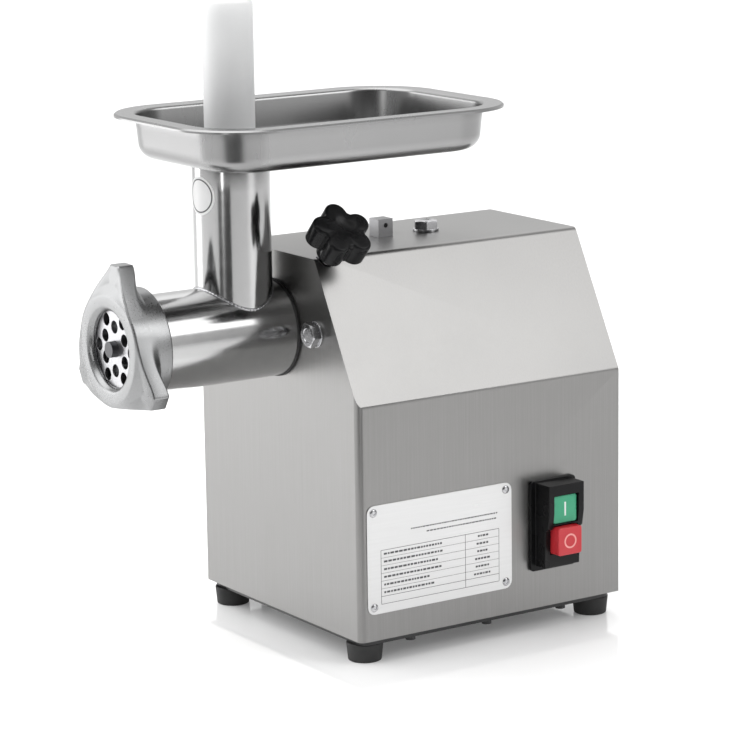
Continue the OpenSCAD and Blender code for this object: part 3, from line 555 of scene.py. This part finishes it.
def ear_reach(a):
    """Outer radius of the ring nut at angle a: round skirt, or the flank or tip of an ear."""
    corner = math.hypot(EAR_R, EAR_HALF_W)
    lean = math.atan2(EAR_HALF_W, EAR_R)
    touch = lean + math.acos(SKIRT_R / corner)
    off = min(abs((a - e + math.pi) % TAU - math.pi) for e in EARS)
    if off < lean:
        return EAR_R / math.cos(off)
    if off < touch:
        return SKIRT_R / math.cos(off - touch)
    return SKIRT_R


def ring_section(reach):
    """Closed section of the ring nut as (radius, height), where its outside stands at reach."""
    front, back = -ring_lo.y, -ring_hi.y
    lip_r, thread_r, lip_t, lip_slope = 28.3, 39.3, 6, 3
    past = reach - SKIRT_R
    t = past / (EAR_R - SKIRT_R)
    ease = t * t * (3 - 2 * t)
    lip = [(lip_r, front - lip_t), (lip_r, front - lip_slope - 0.2), (lip_r + lip_slope, front),
           (SKIRT_R - 3.4, front), (SKIRT_R - 1.0 + 0.35 * past, front - 0.2 - 4.2 * t)]
    ear = [(reach, front - 1.0 - 5 * ease), (reach, front - 12 - 7 * ease),
           (SKIRT_R + 0.45 * past, front - 15 - 5 * t), (SKIRT_R, front - 18 - 3 * t)]
    thread = [(SKIRT_R, back), (thread_r, back), (thread_r, front - lip_t)]
    return soften(lip + ear + thread, 1.3, 3, closed=True)


def make_ring_nut():
    """Cast ring nut, whose section changes smoothly from the skirt to its three swept-back ears."""
    angles = full_turn(360)
    columns = [ring_section(ear_reach(a)) for a in angles]
    rings = [[Vector((MID_X + r * math.cos(a), -h, AXIS_Z + r * math.sin(a)))
              for a, (r, h) in zip(angles, row)] for row in zip(*columns)]
    bm = bmesh.new()
    bridge(bm, rings, closed=True)
    add_piece("ring_nut_casting", bm, "ring", "cast_alloy", ("ring_nut",), angle=50)


def make_auger():
    """Auger with a rounded flight, square and spigot."""
    refine("auger", 0.35, 45)


def make_label():
    """Plain round label bent round the feed tube, with a grey ring printed on it."""
    lo, hi = lo_hi("tube_label")
    facing = math.atan2((lo.y + hi.y) / 2 - TUBE_Y, (lo.x + hi.x) / 2 - MID_X)
    centre_z = (lo.z + hi.z) / 2
    sunk_r, rows = TUBE_R - 0.1, 8

    def bent_circle(tube_r, r):
        return [on_tube(tube_r, facing + r * math.cos(b) / TUBE_R, centre_z + r * math.sin(b))
                for b in full_turn(72)]

    for name, r_in, r_out, lift, replaces, material in (
            ("tube_label_disc", 0.0, 14.3, 0.12, ("tube_label",), None),
            ("tube_label_rim", 11.6, 12.6, 0.2, (), PRINT_GREY)):
        radii = [max(0.05, r_in + (r_out - r_in) * i / rows) for i in range(rows + 1)]
        rings = [bent_circle(TUBE_R + lift, r) for r in radii] + [bent_circle(sunk_r, r_out)]
        if r_in:
            rings.insert(0, bent_circle(sunk_r, r_in))
        bm = bmesh.new()
        bridge(bm, rings, closed=r_in > 0)
        add_piece(name, bm, "head", "label_film", replaces, material=material)


make_barrel()
make_gasket()
make_tube()
make_weld()
make_ring_nut()
make_auger()
make_label()


# ------------------------------------------------------------ tray and pusher

SHEET, TRAY_CORNER_R, RIM_W, BOWL_FILLET = 1.0, 56, 16.5, 12


def tray_rows(side):
    """Rows of (set in, height) from edge to floor, on the tray's upper (0) or lower (1) side."""
    top, floor = tray_hi.z, tube_hi.z
    edge_h, bend_r, lean = 2.6, 3.0, 2.2
    t = SHEET * side
    rows = [(0.6 * side, top - edge_h), (0.9 * t, top - 1.2 - 0.4 * side), (1.4 + 0.2 * side, top - t),
            (RIM_W - bend_r, top - t)]
    for k in range(1, 7):
        a = math.radians(90 * k / 6)
        rows.append((RIM_W - bend_r * (1 - math.sin(a)) - t * k / 6,
                     top - t - bend_r * (1 - math.cos(a))))
    rows.append((RIM_W + lean / 2 - t, (top + floor + BOWL_FILLET) / 2))
    foot, r = RIM_W + lean - t, BOWL_FILLET - SHEET + t
    for k in range(9):
        a = math.radians(90 * k / 8)
        rows.append((foot + r * (1 - math.cos(a)), floor + SHEET - t + r * (1 - math.sin(a))))
    return rows


def make_tray():
    """Pressed tray with a flat rim, and the collar under it that stands in the feed tube."""
    half, middle = (tray_hi - tray_lo) / 2, (tray_hi + tray_lo) / 2
    floor = tube_hi.z

    def outline(inset, z):
        corner = rounded_box(half.x - inset, half.y - inset, TRAY_CORNER_R - inset, 14)
        return [Vector((middle.x + x, middle.y + y, z)) for x, y in corner]

    bm = bmesh.new()
    bridge(bm, [outline(*row) for row in tray_rows(1)[::-1] + tray_rows(0)])
    obj = add_piece("tray_pan", bm, "tray_body", "polished_steel", ("tray",), SATIN, angle=60)
    cutter = bmesh.new()
    lathe(cutter, tube_section(0, TUBE_R - 3.0, floor - 5, floor + 8), TUBE_AXIS)
    carve(obj, cutter)
    collar_r = TUBE_R - TUBE_WALL - 0.4
    collar_in_r, collar_bottom = collar_r - SHEET, floor - 14
    profile = [(collar_r, collar_bottom), (collar_r, floor + 0.4), (collar_r + 1.2, floor + 1.25),
               (collar_r - 0.2, floor + 1.4), (collar_in_r, floor), (collar_in_r, collar_bottom)]
    bm = bmesh.new()
    lathe(bm, soften(profile, 0.5, closed=True), TUBE_AXIS, closed=True)
    add_piece("tray_collar", bm, "tray_body", "polished_steel", material=SATIN)


def make_pusher():
    """Plastic pusher with a rounded foot and head and a slightly sunk top."""
    r = (pusher_hi.x - pusher_lo.x) / 2
    bottom, top = pusher_lo.z, pusher_hi.z
    foot_r, head_r = 1.5, 4
    profile = [(0, bottom)]
    profile += arc(r - foot_r, bottom + foot_r, foot_r, -90, 0, 8)
    profile += arc(r - head_r, top - head_r, head_r, 0, 90, 8)
    profile += [(r - 7, top - 0.15), (0, top - 0.3)]
    bm = bmesh.new()
    lathe(bm, profile, TUBE_AXIS)
    add_piece("pusher_body_shape", bm, "pusher_body", "white_plastic", ("pusher",))


make_tray()
make_pusher()


# ------------------------------------------------------------ lock knob

def knob_reach(a):
    """Outline of the star: a round core blended with five round lobes."""
    lobes, first_lobe = 5, 33.5
    core, lobe_r, lobe_at = 17.0, 8.2, 15.6
    blend = 16
    total = core ** blend
    for k in range(lobes):
        off = a - math.radians(k * 360 / lobes + first_lobe)
        along, across = lobe_at * math.cos(off), lobe_at * math.sin(off)
        if abs(across) < lobe_r and along > 0:
            total += (along + math.sqrt(lobe_r ** 2 - across ** 2)) ** blend
    return total ** (1 / blend)


def make_knob():
    """Star knob with rounded edges, a dish in its face and a hub; heights run along its screw."""
    joint = next(j for j in frame["record"]["behaviour"]["joints"] if j["name"] == "lock_knob_turn")
    turn = Vector((0, 0, 1)).rotation_difference(Vector(joint["axis"]).normalized())
    place = Matrix.Translation(Vector(joint["pos_m"]) * PER_M) @ turn.to_matrix().to_4x4()
    base, top = 98.0, 118.0
    hub_base, hub_r = 85.5, 10
    under, over = 2.6, 2.4
    quarter = [math.radians(15 * k) for k in range(7)]
    rows = [(under * (1 - math.sin(q)), base + under * (1 - math.cos(q))) for q in quarter]
    rows += [(over * (1 - math.cos(q)), top - 0.7 - over * (1 - math.sin(q))) for q in quarter]
    rows += [(over + 3, top - 0.25), (over + 6, top)]
    angles = full_turn(240)
    star = [knob_reach(a) for a in angles]
    rings = [[polar(reach - inset, a, h) for a, reach in zip(angles, star)] for inset, h in rows]
    rings += [[polar(r, a, h) for a in angles]
              for r, h in ((8.0, top), (7.4, top - 0.5), (0.5, top - 0.7))]
    hub_top = base + 1.5
    hub = soften([(hub_r - 1, hub_base), (hub_r, hub_base + 1), (hub_r, base - 2),
                  (hub_r + 2, hub_top)], 0.6)
    bm = bmesh.new()
    bridge(bm, [[place @ p for p in ring] for ring in rings])
    lathe(bm, [(0, hub_base), *hub, (0, hub_top)], place, 64)
    add_piece("star_knob", bm, "lock", "black_plastic", ("lock_knob",), angle=60)


make_knob()


# ------------------------------------------------------------ rating plate print and rivets

def make_plate_print():
    """Table and short plain dashes where a real plate has its text; measured from a plate corner."""
    x, y0, z0 = plate_hi.x, plate_lo.y, plate_lo.z
    left, right, split = 12.0, 119.0, 88.0
    bottom, top = 7.0, 48.0
    line = 0.35
    bm = bmesh.new()

    def bar(ya, yb, za, zb):
        slab_box(bm, (x - 0.1, y0 + ya, z0 + za), (x + 0.06, y0 + yb, z0 + zb))

    def dashes(y, stop, z, half_h, shortest, longest, gap):
        while y < stop:
            step = random.uniform(shortest, longest)
            bar(y, y + step, z - half_h, z + half_h)
            y += step + gap

    rows = [bottom + (top - bottom) * k / 7 for k in range(8)]
    for z in (rows[0], rows[1], rows[-1]):
        bar(left, right, z - line / 2, z + line / 2)
    for z in rows[2:-1]:
        bar(left, right, z - line / 3, z + line / 3)
    for y in (left, right, split):
        bar(y - line / 2, y + line / 2, bottom, top)
    for low, high in zip(rows[1:], rows[2:]):
        z = (low + high) / 2
        dashes(left + 2.5, left + random.uniform(38, 66), z, 0.75, 1.4, 3.4, 0.8)
        start = (split + right) / 2
        width = random.uniform(7, 16)
        dashes(start - width / 2, start + width / 2, z, 0.75, 1.2, 2.6, 0.7)
    for z, reach in ((60.5, 80), (56.5, 66)):
        dashes(right - reach, right - 2, z, 0.5, 1.0, 2.6, 0.7)
    add_piece("rating_print", bm, "machine", "plate_alloy", material=PRINT_GREY)


def make_rivets():
    """Four blind rivets at the plate's corners, each with a domed head and a dimple."""
    lo, hi = lo_hi("plate_rivets")
    r = 3.2
    dome = [(0, -1.0), (r, -1.0), (r, 0.15), (0.93 * r, 0.55), (0.75 * r, 0.95), (0.52 * r, 1.15),
            (0.42 * r, 1.15), (0.36 * r, 0.7), (0, 0.6)]
    bm = bmesh.new()
    for y in (lo.y + r, hi.y - r):
        for z in (lo.z + r, hi.z - r):
            lathe(bm, dome, Matrix.Translation((plate_hi.x, y, z)) @ SIDEWAYS, 40)
    add_piece("rivet_heads", bm, "machine", "plate_alloy", ("plate_rivets",),
              material=MATERIALS["bolt_steel"])


make_plate_print()
make_rivets()


# ------------------------------------------------------------ button marks

def make_button_marks():
    """White bar on the start button and pale ring on the stop button, both let into the plastic."""
    sunk, raised = 0.3, 0.12
    half_w, half_h = 0.75, 5.4
    ring_in_r, ring_out_r = 4.4, 5.7
    x, y, z = start_hi.x, (start_lo.y + start_hi.y) / 2, (start_lo.z + start_hi.z) / 2
    bm = bmesh.new()
    slab_box(bm, (x - sunk, y - half_w, z - half_h), (x + raised, y + half_w, z + half_h))
    add_piece("start_mark", bm, "start", "green_plastic", material=MARK_WHITE, bevel=0.15)
    place = Matrix.Translation((stop_hi.x, y, (stop_lo.z + stop_hi.z) / 2)) @ SIDEWAYS
    bm = bmesh.new()
    lathe(bm, tube_section(ring_in_r, ring_out_r, -sunk, raised), place, 64, closed=True)
    add_piece("stop_mark", bm, "stop", "red_plastic", material=MARK_ROSE)


make_button_marks()


# ------------------------------------------------------------ finish for the rest of the CAD

for node_name, node_object in NODES.items():
    if node_name not in redrawn:
        node_object.data.materials.clear()
        node_object.data.materials.append(MATERIALS[SLOT_OF[node_name]])


# ------------------------------------------------------------ floor, light and camera

def flat_face(name, corners, nodes):
    """One flat face of the stage, with the material of nodes."""
    bm = bmesh.new()
    bm.faces.new([bm.verts.new(c) for c in corners])
    obj = mesh_object(name, bm)
    obj.data.materials.append(nodes.mat)
    return obj


def make_floor():
    n = Nodes("pale_floor")
    n.tint(n.noise(3), (0.915, 0.915, 0.915), 0.015)
    n.set(Roughness=0.08, IOR=1.9, Emission_Color=(1, 1, 1, 1), Emission_Strength=0.12)
    half = 60.0
    corners = [(-half, -half, 0), (half, -half, 0), (half, half, 0), (-half, half, 0)]
    floor = flat_face("floor", corners, n)


def make_card():
    """Dark card on the floor that only mirrors show: it gives the round metal its dark band."""
    n = Nodes("dark_card")
    n.tint(n.noise(3), (0.025, 0.025, 0.025), 0.005)
    near, far, right, left, height = 0.62, 3.6, math.radians(-72), math.radians(-36), 0.002
    card = flat_face("card", [polar(near, right, height), polar(far, right, height),
                              polar(far, left, height), polar(near, left, height)], n)
    card.visible_camera = False
    card.visible_shadow = False
    card.visible_diffuse = False


# brightness of the sky by height, from straight down to straight up
UPWARD = ((0.0, 0.5), (0.5, 0.42), (0.62, 0.55), (0.8, 1.0), (1.0, 1.2))
# brightness round about, by share of the circle from -X through -Y, +X and +Y back to -X
AROUND = ((0.0, 0.9), (0.16, 1.5), (0.25, 1.1), (0.31, 0.2), (0.42, 0.15), (0.53, 0.4), (0.585, 2.8),
          (0.64, 0.35), (0.78, 0.8), (0.87, 1.75), (0.94, 1.75))


def ramp_node(tree, stops):
    """Grey ramp from a list of (position, brightness)."""
    ramp = add_node(tree, "ShaderNodeValToRGB")
    ramp.color_ramp.interpolation = "EASE"
    elements = ramp.color_ramp.elements
    while len(elements) < len(stops):
        elements.new(0.5)
    for element, (position, grey) in zip(elements, stops):
        element.position = position
        element.color = (grey, grey, grey, 1)
    return ramp


def make_world():
    """White to the eye; what the metal mirrors has soft boxes and dark gaps, as in a studio."""
    world = bpy.data.worlds.new("studio")
    bpy.context.scene.world = world
    world.use_nodes = True
    tree = world.node_tree
    link = tree.links.new
    way = add_node(tree, "ShaderNodeSeparateXYZ")
    link(add_node(tree, "ShaderNodeTexCoord").outputs["Generated"], way.inputs["Vector"])
    height = add_node(tree, "ShaderNodeMapRange", From_Min=-1.0)
    link(way.outputs["Z"], height.inputs["Value"])
    up = ramp_node(tree, UPWARD)
    link(height.outputs["Result"], up.inputs["Fac"])
    turn = add_node(tree, "ShaderNodeMath", operation="ARCTAN2")
    link(way.outputs["Y"], turn.inputs[0])
    link(way.outputs["X"], turn.inputs[1])
    share = add_node(tree, "ShaderNodeMapRange", From_Min=-math.pi, From_Max=math.pi)
    link(turn.outputs[0], share.inputs["Value"])
    bands = ramp_node(tree, AROUND)
    link(share.outputs["Result"], bands.inputs["Fac"])
    mirrored = add_node(tree, "ShaderNodeMix", data_type="RGBA", blend_type="MULTIPLY", Factor=1.0)
    link(up.outputs["Color"], mirrored.inputs["A"])
    link(bands.outputs["Color"], mirrored.inputs["B"])
    seen = add_node(tree, "ShaderNodeMix", data_type="RGBA", B=(1, 1, 1, 1))
    link(add_node(tree, "ShaderNodeLightPath").outputs["Is Camera Ray"], seen.inputs["Factor"])
    link(mirrored.outputs["Result"], seen.inputs["A"])
    link(seen.outputs["Result"], tree.nodes["Background"].inputs["Color"])


def hang(data, heading, place=(0, 0, 0)):
    """Puts a light in the scene, shining along heading."""
    obj = bpy.data.objects.new(data.name, data)
    obj.location = place
    obj.rotation_mode = "QUATERNION"
    obj.rotation_quaternion = Vector(heading).to_track_quat("-Z", "Y")
    bpy.context.scene.collection.objects.link(obj)
    return obj


def soft_box(name, place, target, size, power):
    """Rectangular light, with its width and height in metres and its power in watts."""
    data = bpy.data.lights.new(name, "AREA")
    data.shape = "RECTANGLE"
    data.size, data.size_y = size
    data.energy = power
    hang(data, Vector(target) - Vector(place), place).visible_camera = False


def make_lights():
    """Wide soft light from above and three soft boxes."""
    sky = bpy.data.lights.new("sky_box", "SUN")
    sky.energy = 1.9
    sky.angle = math.radians(75)
    hang(sky, (0.25, 0.35, -1))
    soft_box("left_front", (-1.9, -1.35, 0.55), (0, -0.1, 0.2), (1.1, 1.3), 13)
    soft_box("slant_box", (1.75, 1.6, 1.75), (0.05, 0.06, 0.28), (1.5, 1.3), 15)
    soft_box("strip_right", (1.5, -2.4, 0.8), (0, -0.1, 0.3), (0.25, 1.6), 6)


def make_camera():
    """Camera at the photograph's viewing angle."""
    azimuth, elevation, roll = math.radians(56.57), math.radians(11.80), math.radians(-0.87)
    back = Vector((math.sin(azimuth) * math.cos(elevation), -math.cos(azimuth) * math.cos(elevation),
                   math.sin(elevation)))
    right = Vector((math.cos(azimuth), math.sin(azimuth), 0))
    up = back.cross(right)
    turned_right = right * math.cos(roll) + up * math.sin(roll)
    turned_up = up * math.cos(roll) - right * math.sin(roll)
    data = bpy.data.cameras.new("camera")
    data.lens = 151.9
    data.sensor_width = 36.0
    data.clip_start, data.clip_end = 0.05, 200
    camera = bpy.data.objects.new("camera", data)
    casing_foot = Vector((MID_X, (casing_lo.y + casing_hi.y) / 2, 0)) / PER_M
    away = Vector((1.951, -1.3243, 0.685))
    rotation = Matrix((turned_right, turned_up, back)).transposed().to_4x4()
    camera.matrix_world = Matrix.Translation(casing_foot + away) @ rotation
    bpy.context.scene.collection.objects.link(camera)
    bpy.context.scene.camera = camera


make_floor()
make_card()
make_world()
make_lights()
make_camera()
bpy.context.scene.view_settings.view_transform = "Standard"
